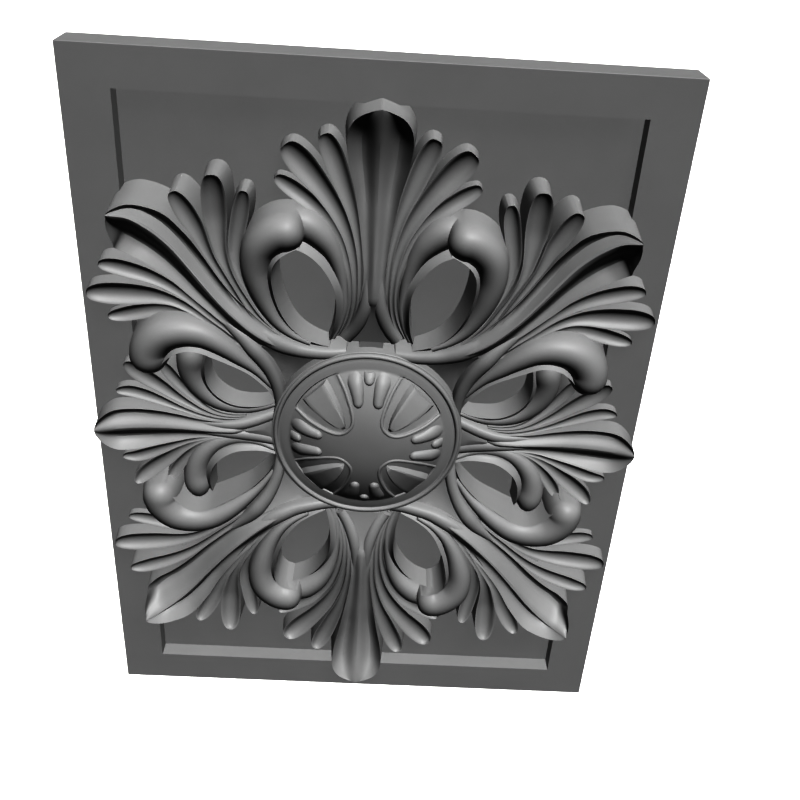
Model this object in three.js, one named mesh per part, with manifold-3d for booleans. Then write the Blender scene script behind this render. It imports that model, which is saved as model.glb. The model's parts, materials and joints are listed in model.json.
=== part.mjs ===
// A carved rosette in high relief on an upright board with a sunk field.
// Millimetres. X runs to the right, Z up, and Y from the front to the back.
// The board's back face lies on Y = 0, centred on the origin, and the carving faces -Y.
import * as THREE from 'three';
import { mergeVertices } from 'three/addons/utils/BufferGeometryUtils.js';
import Module from 'manifold-3d';

const wasm = await Module();
wasm.setup();

// Driving dimensions of the board
const boardWidth = 300;
const boardHeight = 400;
const boardThickness = 20;
const sideMargin = 24;
const endMargin = 20;
const fieldDepth = 9.6;

// Driving dimensions of the rosette. Its carving is drawn at the height drawnHeight,
// tip to tip, and keeps its proportions as shares of rosetteHeight.
const rosetteHeight = 363;
const drawnHeight = 363;
const fitGap = 0.3;

const share = rosetteHeight / drawnHeight;
const carvingFloor = -(fieldDepth - fitGap);
const overlap = 20;
const rootDepth = carvingFloor - 2;

// Thinning: how far a fold may move the surface, as area times squared distance, and the least
// cosine and doubled area that it may leave a triangle with
const firstMisfit = 1e-4;
const lastMisfit = 4;
const leastTurn = 0.3;
const leastArea = 1e-4;

// Solids

function solidOf(positions, triangles) {
  const geometry = new THREE.BufferGeometry();
  geometry.setAttribute('position', new THREE.Float32BufferAttribute(positions, 3));
  geometry.setIndex(triangles);
  return solidFrom(geometry);
}

function solidFrom(source) {
  let geometry = source.clone();
  geometry.deleteAttribute('normal');
  geometry.deleteAttribute('uv');
  geometry = mergeVertices(geometry, 1e-4);
  return new wasm.Manifold(new wasm.Mesh({
    numProp: 3,
    vertProperties: new Float32Array(geometry.attributes.position.array),
    triVerts: new Uint32Array(geometry.index.array),
  }));
}

function geometryOf(solid) {
  const mesh = solid.getMesh();
  const geometry = new THREE.BufferGeometry();
  geometry.setAttribute('position', new THREE.BufferAttribute(new Float32Array(mesh.vertProperties), 3));
  geometry.setIndex(new THREE.BufferAttribute(new Uint32Array(mesh.triVerts), 1));
  geometry.computeVertexNormals();
  return geometry;
}

function joined(solids) {
  let level = solids;
  while (level.length > 1) {
    const next = [];
    for (let i = 0; i < level.length; i += 2) {
      next.push(i + 1 < level.length ? level[i].add(level[i + 1]) : level[i]);
    }
    level = next;
  }
  return level[0];
}

// Thins a solid's triangles by folding edges, those first that move the surface least, and keeps
// it closed: an edge folds only where its two ends share just the two points across it
function thinned(solid) {
  const mesh = solid.getMesh();
  const points = [];
  for (let i = 0; i < mesh.vertProperties.length; i += 3) {
    points.push(new THREE.Vector3().fromArray(mesh.vertProperties, i));
  }
  const faces = [];
  const around = points.map(() => new Set());
  const misfits = points.map(() => new Array(10).fill(0));
  for (let i = 0; i < mesh.triVerts.length; i += 3) {
    const corners = [...mesh.triVerts.slice(i, i + 3)];
    corners.forEach((corner) => around[corner].add(faces.length));
    faces.push(corners);
    const normal = faceNormal(corners.map((corner) => points[corner]));
    const area = normal.length() / 2;
    normal.normalize();
    const plane = [...normal.toArray(), -normal.dot(points[corners[0]])];
    const products = plane.flatMap((first, a) => plane.slice(a).map((second) => area * first * second));
    corners.forEach((corner) => products.forEach((product, entry) => (misfits[corner][entry] += product)));
  }

  // The area times squared distance by which a point misses the planes summed up in it
  const misfitAt = (sum, point) => {
    const place = [...point.toArray(), 1];
    const terms = place.flatMap((first, a) => place.slice(a).map((second, b) => first * second * (b ? 2 : 1)));
    return terms.reduce((total, term, entry) => total + term * sum[entry], 0);
  };
  const neighboursOf = (a) => new Set([...around[a]].flatMap((face) => faces[face]).filter((b) => b !== a));
  const turnsOver = (a, b, target) => [...around[a]].some((face) => {
    if (faces[face].includes(b)) return false;
    const before = faceNormal(faces[face].map((corner) => points[corner]));
    const after = faceNormal(faces[face].map((corner) => (corner === a ? target : points[corner])));
    return after.dot(before) < leastTurn * after.length() * before.length() || after.length() < leastArea;
  });
  const fold = (a, b, limit) => {
    const sum = misfits[a].map((value, entry) => value + misfits[b][entry]);
    const middle = points[a].clone().lerp(points[b], 0.5);
    const costs = [points[a], points[b], middle].map((target) => ({ target, cost: misfitAt(sum, target) }));
    const { target, cost } = costs.reduce((best, choice) => (choice.cost < best.cost ? choice : best));
    if (cost > limit) return false;
    const nextToB = neighboursOf(b);
    if ([...neighboursOf(a)].filter((corner) => nextToB.has(corner)).length !== 2) return false;
    if (turnsOver(a, b, target) || turnsOver(b, a, target)) return false;
    points[a] = target.clone();
    misfits[a] = sum;
    around[b].forEach((face) => {
      if (faces[face].includes(a)) {
        faces[face].forEach((corner) => corner !== b && around[corner].delete(face));
      } else {
        faces[face] = faces[face].map((corner) => (corner === b ? a : corner));
        around[a].add(face);
      }
    });
    around[b] = new Set();
    return true;
  };

  for (let limit = firstMisfit; limit < lastMisfit; limit *= 2) {
    let folded = true;
    while (folded) {
      folded = false;
      for (let a = 0; a < points.length; a++) {
        for (const b of neighboursOf(a)) {
          if (b > a && around[b].size > 0 && fold(a, b, limit)) folded = true;
        }
      }
    }
  }
  const kept = [...new Set(around.flatMap((set) => [...set]))];
  return solidOf(points.flatMap((point) => point.toArray()), kept.flatMap((face) => faces[face]));
}

function faceNormal([a, b, c]) {
  return new THREE.Vector3().subVectors(b, a).cross(new THREE.Vector3().subVectors(c, a));
}

// A box between two corners. Heights are measured from the board's front face towards the viewer.
function boxSolid(width, height, low, high) {
  const box = new THREE.BoxGeometry(width, high - low, height);
  box.translate(0, -boardThickness - (low + high) / 2, 0);
  return solidFrom(box);
}

// The place of a point of the carving: x, z and its height over the board's front face
function placed(x, z, height) {
  return [x, -boardThickness - height, z];
}

// Paths: rows of stations [x, z, ...], read at a share of their length by a smooth curve

function readPath(rows, at) {
  const reach = [0];
  for (let i = 1; i < rows.length; i++) {
    reach.push(reach[i - 1] + Math.hypot(rows[i][0] - rows[i - 1][0], rows[i][1] - rows[i - 1][1]));
  }
  const total = reach[reach.length - 1];
  const place = reach.map((length) => length / total);
  const slopeAt = (i, column) => {
    const slope = (a, b) => (rows[b][column] - rows[a][column]) / (place[b] - place[a]);
    if (i === 0) return slope(0, 1);
    if (i === rows.length - 1) return slope(i - 1, i);
    const before = place[i] - place[i - 1];
    const after = place[i + 1] - place[i];
    return (slope(i - 1, i) * after + slope(i, i + 1) * before) / (before + after);
  };
  let i = 0;
  while (i < rows.length - 2 && place[i + 1] < at) i++;
  const span = place[i + 1] - place[i];
  const t = (at - place[i]) / span;
  const t2 = t * t;
  const t3 = t2 * t;
  return rows[i].map((value, column) => (2 * t3 - 3 * t2 + 1) * value
    + (t3 - 2 * t2 + t) * span * slopeAt(i, column)
    + (3 * t2 - 2 * t3) * rows[i + 1][column]
    + (t3 - t2) * span * slopeAt(i + 1, column));
}

// Cross sections, each a list of [share of the half width, height over the station's line]

const scoopAcross = [-1, -0.5, 0, 0.5, 1];
const strandAcross = [-1, -0.7, 0, 0.7, 1];
const leafAcross = [-1, -0.6, 0, 0.6, 1];

// A hollow between two rims: rows [x, z, rim height, half width]
function scoopSection([, , rim, half], narrowing, { hollow = 0.45 }) {
  const width = half * narrowing;
  return scoopAcross.map((u) => [u * width, rim - hollow * width * (1 - u * u)]);
}

// A round-topped strand: rows [x, z, edge height, half width]
function strandSection([, , edge, half], narrowing, { crown = 0.85 }) {
  const width = half * narrowing;
  return strandAcross.map((u) => [u * width, edge + crown * width * Math.sqrt(Math.max(0, 1 - u * u))]);
}

// A middle ridge with a channel on each side and a rim at each edge:
// rows [x, z, ridge height, left width, right width, left rim height, right rim height, channel depth]
function leafSection([, , ridge, left, right, leftRim, rightRim, depth], narrowing) {
  const channelPlace = 0.62;
  return leafAcross.map((u) => {
    const v = Math.abs(u);
    const rim = u < 0 ? leftRim : rightRim;
    const width = u < 0 ? left : right;
    const ease = v * v * (3 - 2 * v);
    const channel = v < channelPlace
      ? 0.5 - 0.5 * Math.cos(Math.PI * v / channelPlace)
      : Math.sqrt(Math.max(0, 1 - ((v - channelPlace) / (1 - channelPlace)) ** 2));
    return [u * width * narrowing, ridge + (rim - ridge) * ease - depth * narrowing * channel];
  });
}

// The share of a path's turning radius that a stroke may fill on the inside of the turn
const innerShare = 0.85;

// A solid under a surface that follows a path: top surface, upright walls, flat back
function stroke(section, rows, { steps = 4, tip = 0.2, tipSteps = 3, nib = 0, ...shape } = {}) {
  const stops = [];
  for (let i = 0; i <= steps; i++) stops.push((1 - tip) * i / steps);
  for (let i = 1; i <= tipSteps && tip > 0; i++) stops.push(1 - tip + tip * Math.sin(Math.PI / 2 * i / tipSteps));
  const grid = stops.map((at) => {
    const station = readPath(rows, at);
    const before = readPath(rows, Math.max(0, at - 0.01));
    const after = readPath(rows, Math.min(1, at + 0.01));
    const length = Math.hypot(after[0] - before[0], after[1] - before[1]);
    const along = [(after[0] - before[0]) / length, (after[1] - before[1]) / length];
    const inTip = tip > 0 ? Math.max(0, (at - 1 + tip) / tip) : 0;
    const narrowing = Math.max(0.06, Math.sqrt(Math.max(0, 1 - inTip ** 2.2)));
    const turn = Math.atan2(
      (after[0] - station[0]) * (station[1] - before[1]) - (after[1] - station[1]) * (station[0] - before[0]),
      (after[0] - station[0]) * (station[0] - before[0]) + (after[1] - station[1]) * (station[1] - before[1]),
    );
    const bend = turn / (length / 2);
    return section(station, narrowing, shape).map(([width, height], k, all) => {
      const aside = width * bend > innerShare ? innerShare / bend : width;
      const u = 2 * k / (all.length - 1) - 1;
      const ahead = nib * inTip ** 4 * (1 - Math.abs(u)) ** 2;
      return [
        station[0] + along[1] * aside + along[0] * ahead,
        station[1] - along[0] * aside + along[1] * ahead,
        height,
      ];
    });
  });
  return underSurface(grid);
}

// Closes a grid of [x, z, height] points down to the carving's flat back
function underSurface(grid) {
  const rows = grid.length;
  const across = grid[0].length;
  const loop = [];
  for (let i = 0; i < rows; i++) loop.push([i, 0]);
  for (let k = 1; k < across; k++) loop.push([rows - 1, k]);
  for (let i = rows - 2; i >= 0; i--) loop.push([i, across - 1]);
  for (let k = across - 2; k > 0; k--) loop.push([0, k]);
  const rim = loop.map(([i, k]) => grid[i][k]);
  let area = 0;
  rim.forEach((p, i) => {
    const q = rim[(i + 1) % rim.length];
    area += p[0] * q[1] - q[0] * p[1];
  });
  const turn = Math.sign(area);

  const positions = [];
  const add = (x, z, height) => {
    positions.push(...placed(x * share, z * share, height));
    return positions.length / 3 - 1;
  };
  const top = grid.map((row) => row.map(([x, z, height]) => add(x, z, height * share)));
  const footIds = rim.map(([x, z]) => add(x, z, rootDepth));

  const triangles = [];
  const quad = (a, b, c, d) => {
    if (turn > 0) triangles.push(a, b, c, a, c, d);
    else triangles.push(a, c, b, a, d, c);
  };
  for (let i = 0; i + 1 < rows; i++) {
    for (let k = 0; k + 1 < across; k++) {
      quad(top[i][k], top[i + 1][k], top[i + 1][k + 1], top[i][k + 1]);
    }
  }
  loop.forEach(([i, k], n) => {
    const next = (n + 1) % loop.length;
    const [j, l] = loop[next];
    quad(top[i][k], footIds[n], footIds[next], top[j][l]);
  });

  // The flat back is a ladder of quads from one long side to the other, with a fan at each end
  const rightFoot = (i) => footIds[(rows - 1) + (across - 1) + (rows - 1 - i)];
  for (let i = 0; i + 1 < rows; i++) {
    quad(footIds[i], rightFoot(i), rightFoot(i + 1), footIds[i + 1]);
  }
  for (let k = 1; k < across - 1; k++) {
    const end = rows - 1 + k;
    const start = 2 * (rows - 1) + (across - 1) + k;
    if (turn > 0) {
      triangles.push(footIds[rows - 1], footIds[end + 1], footIds[end]);
      triangles.push(footIds[0], footIds[start], footIds[start - 1]);
    } else {
      triangles.push(footIds[rows - 1], footIds[end], footIds[end + 1]);
      triangles.push(footIds[0], footIds[start - 1], footIds[start]);
    }
  }
  return solidOf(positions, triangles);
}

// The low ground between neighbouring strokes, just under them: entries [rows, from, to] name
// the stations on each side that it spans between
function bed(entries, steps = 2) {
  const below = 0.6;
  const grid = [];
  for (let i = 0; i <= steps; i++) {
    grid.push(entries.map(([rows, from, to]) => {
      const station = readPath(rows, from + (to - from) * i / steps);
      const isRidge = station.length > 4;
      const sunk = isRidge ? station[7] : 0.45 * station[3];
      return [station[0], station[1], station[2] - sunk - below];
    }));
  }
  return underSurface(grid);
}

function mirrored(solid, overX, overZ) {
  const mesh = solid.getMesh();
  const positions = new Float32Array(mesh.vertProperties);
  const triangles = new Uint32Array(mesh.triVerts);
  for (let i = 0; i < positions.length; i += 3) {
    if (overX) positions[i] *= -1;
    if (overZ) positions[i + 2] *= -1;
  }
  if (overX !== overZ) {
    for (let i = 0; i < triangles.length; i += 3) {
      const first = triangles[i];
      triangles[i] = triangles[i + 1];
      triangles[i + 1] = first;
    }
  }
  return new wasm.Manifold(new wasm.Mesh({ numProp: 3, vertProperties: positions, triVerts: triangles }));
}

// Upright leaf: the middle lobe, then the side lobes from the top down, the strand that curls
// round the teardrop opening with its lip, and the stem strand that forks above the ring

const uprightRidge = [
  [0, 78, 9.5, 3, 3, 8.5, 8.5, 0],
  [0, 92, 9.5, 5.4, 5.4, 8.5, 8.5, 0.5],
  [0, 108, 8.5, 6.4, 6.4, 7.5, 7.5, 1],
  [0, 126, 7.5, 8.7, 8.7, 7, 7, 1.6],
  [0, 145, 7.5, 11.7, 11.7, 8.5, 8.5, 2.6],
  [0, 163, 10.5, 14, 14, 12, 12, 3.6],
  [0, 174, 13.5, 14.4, 14.4, 15.5, 15.5, 3.4],
  [0, 180.5, 17, 13, 13, 17, 17, 2],
];

const uprightLobes = [
  [
    [8, 84, 7, 2], [9, 99, 6, 2], [10.5, 113, 5, 2.4], [13.5, 128, 4.2, 3.2],
    [17.5, 141, 4.2, 4.4], [22, 154, 4.8, 5.4], [26.5, 165, 5.8, 5],
  ],
  [
    [11, 84, 5, 2], [12.5, 98, 3.8, 2], [15.5, 113, 3, 2.5], [20.5, 126, 2.6, 3.6],
    [27.5, 138, 2.6, 5], [36, 148, 3.2, 6.3], [45.5, 158.5, 4, 6],
  ],
  [
    [13.5, 83, 3, 2], [15, 97, 2, 2.2], [18.5, 111, 1.2, 2.8], [23.5, 121, 0.5, 3.5],
    [31, 129, -0.4, 4], [40, 135, -1.4, 4.3], [50.5, 141, -2, 3.8],
  ],
];

const uprightStrand = [
  [20.5, 55, -3.6, 1.6], [17, 63, -3, 2.4], [14.6, 74, -1.8, 2.8], [14.6, 85, -1.2, 3.4], [16.4, 96, -1.2, 4.6],
  [20, 106, -1.2, 6.2], [26, 114, -1.2, 8], [34, 119, -1.2, 9.2], [44, 121, -1.2, 9],
];

const uprightLip = [
  [20.5, 57, 3, 1.4], [18, 70, 4.8, 2.4], [16.8, 79, 5.4, 2.6], [17.8, 90, 5.4, 2.9],
  [21, 98, 5.4, 3.4], [26, 104.5, 5.4, 3.7], [32, 108, 5.4, 3.9], [41, 110, 5.4, 3.9],
];

const uprightStem = [
  [1.5, 82, 5.4, 2.8], [5, 75, 3.6, 3.7], [9, 67, 0.6, 4], [13.5, 59, -1.8, 4], [17.5, 54, -3, 3.8],
];

const uprightMiddle = () => stroke(leafSection, uprightRidge, { steps: 6, tip: 0.12, tipSteps: 3, nib: 1.2 });

const uprightSide = () => [
  ...uprightLobes.map((rows) => stroke(scoopSection, rows, { steps: 3, tip: 0.24 })),
  stroke(strandSection, uprightStrand, { steps: 6, tip: 0 }),
  stroke(scoopSection, uprightLip, { steps: 5, tip: 0, hollow: 0.6 }),
  stroke(strandSection, uprightStem, { steps: 2, tip: 0 }),
  bed([[uprightRidge, 0, 0.7], ...uprightLobes.map((rows) => [rows, 0, 0.7]), [uprightStrand, 0.35, 1]]),
];

// Corner leaf: the middle lobe, three lobes above it, three below it, the upper and the lower
// curl with their lips, and the stem strands that run out along the ring

const cornerRidge = [
  [50, 52, 15.5, 4, 4, 13, 13, 0],
  [59, 66, 16, 5.5, 6, 12.5, 12.5, 0.5],
  [73, 85, 15.5, 6, 8.5, 13, 11.5, 1.5],
  [88, 103.5, 14.5, 6.5, 13, 14.5, 10, 3.5],
  [100, 113.5, 14.5, 8, 16.5, 16.5, 10, 5],
  [112, 120, 16.5, 10, 18.5, 18.5, 11.5, 6],
  [121, 124.5, 20.5, 9, 17, 22, 17, 5.5],
  [127, 127.5, 25.4, 6, 13, 25.4, 23.5, 2],
];

const cornerUpperLobes = [
  [
    [66, 80, 12.5, 2.2], [74, 94, 11.2, 2.6], [81.5, 106, 10.5, 3.6], [88.5, 119, 11, 5],
    [93.5, 128.5, 12, 5.4], [98.5, 136, 13.2, 4.8],
  ],
  [
    [62, 79, 11, 2.2], [69.5, 92, 9.5, 2.8], [74.5, 105, 8.5, 4], [77.5, 118, 8.5, 5.4],
    [78.7, 130, 9.3, 6.2], [79, 145, 11.1, 6],
  ],
  [
    [59, 78, 9, 2.4], [65.5, 90, 6.6, 3], [69, 103, 5, 3.6], [69, 116, 4.6, 4.2],
    [67, 125.5, 5, 4.2], [64.5, 136, 6, 3.8],
  ],
];

const cornerLowerLobes = [
  [
    [71, 70, 12.5, 2.2], [84, 79.5, 11, 2.6], [97, 85.5, 10.2, 3.6], [110, 91, 10.4, 4.4],
    [121.5, 95, 11.4, 4.8], [136.2, 97.5, 12.9, 4.2],
  ],
  [
    [70, 62, 11, 2.2], [84, 72, 8.8, 2.8], [97, 77.5, 7.6, 4], [110.5, 79.8, 7.4, 5.4],
    [125, 80, 8.4, 6.3], [144.5, 79.5, 11.1, 5.7],
  ],
  [
    [70, 54, 9, 2.4], [86, 64, 6, 3.4], [99, 68.5, 4.4, 4.2], [111.5, 70, 3.8, 4.5],
    [123.5, 67.8, 3.9, 4.5], [136.5, 64.5, 4.8, 3.8],
  ],
];

const upperCurl = [
  [34, 57.5, 6.4, 2], [46, 64.5, 7.2, 3.6], [53.8, 75.5, 7.8, 5.4], [58.2, 88, 8.1, 7.2],
  [59.2, 100, 8.4, 8.6], [56, 111, 8.4, 10], [47.5, 117.5, 8.4, 10.5], [36, 116.5, 8.4, 10.3],
];

const upperLip = [
  [32, 59.5, 9, 1.6], [43, 67, 12, 2.4], [49.5, 76, 14.2, 3.2], [53, 86.5, 14.8, 3.6],
  [54, 95.5, 14.6, 3.9], [52.4, 104, 13.8, 3.9], [46.5, 109, 12.6, 3.6], [40, 110.5, 11.4, 2.7],
];

const lowerCurl = [
  [55, 31, 6.4, 2], [64, 44, 7.2, 3.6], [74.5, 53, 8.4, 5.4], [86.5, 58.6, 9, 7.2],
  [98.5, 59.7, 9, 8.7], [109.5, 56.5, 8.7, 10.2], [115.5, 49, 8.4, 10.8], [115, 36, 8.4, 10.6],
];

const lowerLip = [
  [53, 29, 8, 1.6], [62, 42.5, 11.4, 2.4], [72, 50.6, 13.5, 3.2], [84, 54.2, 14.2, 3.6],
  [94.5, 54.8, 14.2, 3.9], [103.2, 52.6, 13.4, 3.9], [108.5, 46, 11.6, 3.6], [111.5, 40, 9.6, 2.8],
];

const upperStem = [
  [56, 58, 8, 5.5], [48, 54.5, 7.5, 4.4], [38, 52, 5.5, 4], [28, 50.5, 3.5, 4], [14, 50, 2, 4],
];

const lowerStem = [
  [74, 72, 9, 4], [64, 60, 9, 4.4], [58, 50.5, 7.8, 4], [53.5, 37, 4.8, 4], [50, 22, 2.4, 3.8],
];

const cornerLeaf = () => [
  stroke(leafSection, cornerRidge, { steps: 6, tip: 0.08, tipSteps: 2, nib: 0.5 }),
  ...[...cornerUpperLobes, ...cornerLowerLobes].map((rows) => stroke(scoopSection, rows, { steps: 3, tip: 0.24 })),
  ...[upperCurl, lowerCurl].map((rows) => stroke(strandSection, rows, { steps: 6, tip: 0.1 })),
  ...[upperLip, lowerLip].map((rows) => stroke(scoopSection, rows, { steps: 5, tip: 0, hollow: 0.6 })),
  ...[upperStem, lowerStem].map((rows) => stroke(strandSection, rows, { steps: 2, tip: 0 })),
  bed([[cornerRidge, 0, 0.7], ...cornerUpperLobes.map((rows) => [rows, 0, 0.7]), [upperCurl, 0.2, 0.7]]),
  bed([[cornerRidge, 0, 0.7], ...cornerLowerLobes.map((rows) => [rows, 0, 0.7]), [lowerCurl, 0.2, 0.7]]),
];

// Level leaf: the middle lobe, its side lobes, and the strand with a bulb end and its lip

const levelRidge = [
  [46, 0, 8.5, 3.4, 3.4, 7.5, 7.5, 0.4],
  [63, 0, 9, 5, 5, 8.4, 8.4, 0.6],
  [78, 0, 9, 5.4, 5.4, 8.4, 8.4, 0.9],
  [96, 0, 8, 6.4, 6.4, 7.2, 7.2, 1.6],
  [114, 0, 7.5, 10, 10, 7.2, 7.2, 2.8],
  [129, 0, 9, 12.6, 12.6, 9.4, 9.4, 3.4],
  [139.5, 0, 11.5, 12.8, 12.8, 12.6, 12.6, 3.2],
  [147.2, 0, 14.2, 10, 10, 14.2, 14.2, 1.8],
];

const levelLobes = [
  [
    [60, 7.4, 6.8, 1.8], [75, 6.2, 6, 1.8], [90, 7.6, 4.8, 2.1], [105.5, 12, 4, 2.8],
    [120.5, 18, 4.4, 4], [135, 23, 6, 3.6],
  ],
  [
    [60, 9, 5.6, 1.8], [75.5, 7.8, 4.4, 2.1], [90.5, 10.2, 3.4, 2.5], [104.5, 16.6, 2.8, 3.5],
    [116.5, 25, 3.6, 4.8], [129.4, 35.4, 6, 4.4],
  ],
  [
    [60, 10.4, 4, 1.8], [75.5, 9, 2.6, 2.2], [91, 13, 1.6, 2.8], [101.7, 22.5, 1.2, 3.6],
    [107.5, 31, 1.4, 3.6], [112.5, 37.5, 2.4, 3],
  ],
];

const levelStrand = [
  [48, 15, 1, 1.6], [60, 10, -0.6, 2.2], [73, 9.6, -1.2, 3], [85.3, 13, -1.2, 4],
  [94.4, 20.5, -0.9, 5.4], [98, 29, -0.6, 6.6], [97, 38, 0, 7.4], [94.5, 46.5, 0, 7.2],
];

const levelLip = [
  [49, 18, 3.6, 1.4], [60, 15.2, 5.4, 1.9], [72, 15.8, 6, 2.2], [82, 20, 6.3, 2.7],
  [87.5, 27, 6.6, 3], [90, 34, 6.6, 3], [90.5, 41, 6.6, 2.7],
];

const levelMiddle = () => stroke(leafSection, levelRidge, { steps: 6, tip: 0.14, tipSteps: 3, nib: 0.8 });

const levelSide = () => [
  ...levelLobes.map((rows) => stroke(scoopSection, rows, { steps: 3, tip: 0.24 })),
  stroke(strandSection, levelStrand, { steps: 5, tip: 0.14 }),
  stroke(scoopSection, levelLip, { steps: 5, tip: 0, hollow: 0.6 }),
  bed([[levelRidge, 0.1, 0.7], ...levelLobes.map((rows) => [rows, 0, 0.7]), [levelStrand, 0.2, 0.6]]),
];

// Thin webs between the stems and the ring: [x, z, height] points, four by two

const webs = () => [
  underSurface([
    [[0, 48, 4], [6, 48, 4]],
    [[0, 57, 4.4], [6, 57, 4.4]],
    [[0, 58, 4.4], [15, 58, 1.5]],
    [[0, 79, 8], [1, 79, 8]],
  ]),
  underSurface([
    [[30, 40, 4.5], [20, 50, 4]],
    [[36, 34, 4], [33, 51, 4]],
    [[44, 38, 1.5], [44, 52, 6]],
    [[54, 54, 8], [52, 56, 8]],
  ]),
  underSurface([
    [[50, 22, 3], [30, 40, 4.5]],
    [[51, 30, 3.4], [36, 40, 3]],
    [[54, 42, 6], [44, 44, 1.5]],
    [[56, 52, 8], [53, 55, 8]],
  ]),
  underSurface([
    [[47, 0, 5], [47, 12, 4]],
    [[56, 0, 5], [56, 10, 4]],
    [[66, 0, 6], [66, 7, 5]],
  ]),
];

// Ring and boss, turned about Y: [radius, height]

const ringSides = 40;
const ringOuterRadius = 52.6;
const bossRadius = 42.9;
const bossEdge = 7.8;
const bossApex = 19.2;
const bossRound = 2.38;

function bossHeight(radius) {
  return bossApex - (bossApex - bossEdge) * (radius / bossRadius) ** bossRound;
}

function turnedCentre() {
  const floor = rootDepth / share;
  const profile = [[0, floor], [ringOuterRadius, floor]];
  profile.push([ringOuterRadius, 6.2], [51.6, 6.4], [51.1, 7.6], [50.3, 8], [49.4, 7.4], [48.8, 6.6]);
  for (const radius of [42.9, 37.5, 31, 22, 11, 0]) profile.push([radius, bossHeight(radius)]);
  const points = profile.map(([radius, height]) => new THREE.Vector2(radius * share, height * share));
  const turned = new THREE.LatheGeometry(points.reverse(), ringSides);
  turned.applyMatrix4(new THREE.Matrix4().set(
    1, 0, 0, 0,
    0, -1, 0, -boardThickness,
    0, 0, 1, 0,
    0, 0, 0, 1,
  ));
  return solidFrom(turned);
}

// The boss carries four petals on the diagonals, and two tongues with a bead between them
// on each axis. Rows are [radius, half width, height over the boss].

function bossStroke(angle, aside, crown, rows) {
  const cos = Math.cos(angle);
  const sin = Math.sin(angle);
  return stroke(strandSection, rows.map(([radius, half, over]) => {
    const x = radius * cos - aside * sin;
    const z = radius * sin + aside * cos;
    return [x, z, bossHeight(radius) + over, half];
  }), { steps: 2, tip: 0.35, tipSteps: 2, crown });
}

function bossCarving() {
  const parts = [];
  for (let quarter = 0; quarter < 4; quarter++) {
    const axis = quarter * Math.PI / 2;
    parts.push(bossStroke(axis + Math.PI / 4, 0, 0.1, [[42.5, 12, 0.4], [34, 10, 0.4], [25, 6.5, 0.4], [17, 3.4, 0.3]]));
    parts.push(bossStroke(axis, 5.5, 0.35, [[42, 3.4, 0.3], [36, 3, 0.3], [28, 2.2, 0]]));
    parts.push(bossStroke(axis, -5.5, 0.35, [[42, 3.4, 0.3], [36, 3, 0.3], [28, 2.2, 0]]));
    parts.push(bossStroke(axis, 0, 0.35, [[42.5, 2, 0.6], [38.5, 1.8, 0.2], [36, 1.4, 0]]));
  }
  return parts;
}

// The rosette is one solid. Its back lies in the sunk field, and steps up over the frame.

function frameRelief() {
  const far = 3 * Math.max(boardWidth, boardHeight, rosetteHeight);
  const below = boxSolid(far, far, rootDepth - overlap, carvingFloor);
  const round = boxSolid(far, far, rootDepth - overlap, fitGap);
  const inside = boxSolid(
    boardWidth - 2 * (sideMargin + fitGap),
    boardHeight - 2 * (endMargin + fitGap),
    rootDepth - 2 * overlap,
    overlap,
  );
  return round.subtract(inside).add(below);
}

function rosetteGeometry() {
  const parts = [turnedCentre(), ...bossCarving()];
  const repeated = [...uprightSide(), ...cornerLeaf(), ...webs()];
  repeated.push(...levelSide());
  const quarter = joined(repeated);
  for (const overX of [false, true]) {
    for (const overZ of [false, true]) {
      parts.push(mirrored(quarter, overX, overZ));
    }
  }
  const upright = uprightMiddle();
  const level = levelMiddle();
  parts.push(upright, mirrored(upright, false, true), level, mirrored(level, true, false));
  return geometryOf(thinned(joined(parts).subtract(frameRelief())));
}

function boardGeometry() {
  const board = boxSolid(boardWidth, boardHeight, -boardThickness, 0);
  const field = boxSolid(boardWidth - 2 * sideMargin, boardHeight - 2 * endMargin, -fieldDepth, overlap);
  return geometryOf(board.subtract(field));
}

// Both pieces have the same even grey finish

const greyFinish = { color: 0x8a8a8a, roughness: 0.5, metalness: 0 };

function piece(name, geometry) {
  const mesh = new THREE.Mesh(geometry, new THREE.MeshStandardMaterial(greyFinish));
  mesh.name = name;
  return mesh;
}

const group = new THREE.Group();
group.add(piece('backing_panel', boardGeometry()));
group.add(piece('rosette', rosetteGeometry()));

export default group;
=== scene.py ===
import json
import math

import bmesh
import bpy
import numpy as np
from mathutils import Matrix, Vector

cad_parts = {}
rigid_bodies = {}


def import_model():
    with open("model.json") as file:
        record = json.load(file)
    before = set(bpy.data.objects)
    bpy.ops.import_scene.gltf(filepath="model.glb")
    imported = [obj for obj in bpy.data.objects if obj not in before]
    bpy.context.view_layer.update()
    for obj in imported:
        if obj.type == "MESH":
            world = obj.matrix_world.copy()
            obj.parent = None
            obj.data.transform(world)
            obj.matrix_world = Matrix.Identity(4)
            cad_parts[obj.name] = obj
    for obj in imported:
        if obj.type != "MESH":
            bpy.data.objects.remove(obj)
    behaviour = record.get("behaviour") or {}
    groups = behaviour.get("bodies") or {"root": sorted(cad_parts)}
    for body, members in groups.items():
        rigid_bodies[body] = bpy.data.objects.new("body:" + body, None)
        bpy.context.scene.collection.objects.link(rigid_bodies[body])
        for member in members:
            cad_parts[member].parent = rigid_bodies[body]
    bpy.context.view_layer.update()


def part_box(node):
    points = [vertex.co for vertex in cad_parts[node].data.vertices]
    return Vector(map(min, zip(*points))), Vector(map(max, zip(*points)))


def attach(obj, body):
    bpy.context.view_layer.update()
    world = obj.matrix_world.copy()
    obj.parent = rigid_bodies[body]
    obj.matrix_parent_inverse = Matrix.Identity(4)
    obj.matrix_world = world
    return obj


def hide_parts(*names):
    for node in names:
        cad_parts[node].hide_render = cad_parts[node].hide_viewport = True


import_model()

bl_info = {
    "name": "Carved Rosette Plaque",
    "version": (1, 0, 0),
    "blender": (4, 5, 0),
    "location": "3D View > Sidebar > Rosette",
    "description": "Builds a carved leaf rosette on a framed board, in a plain studio",
    "category": "Add Mesh",
}

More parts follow.
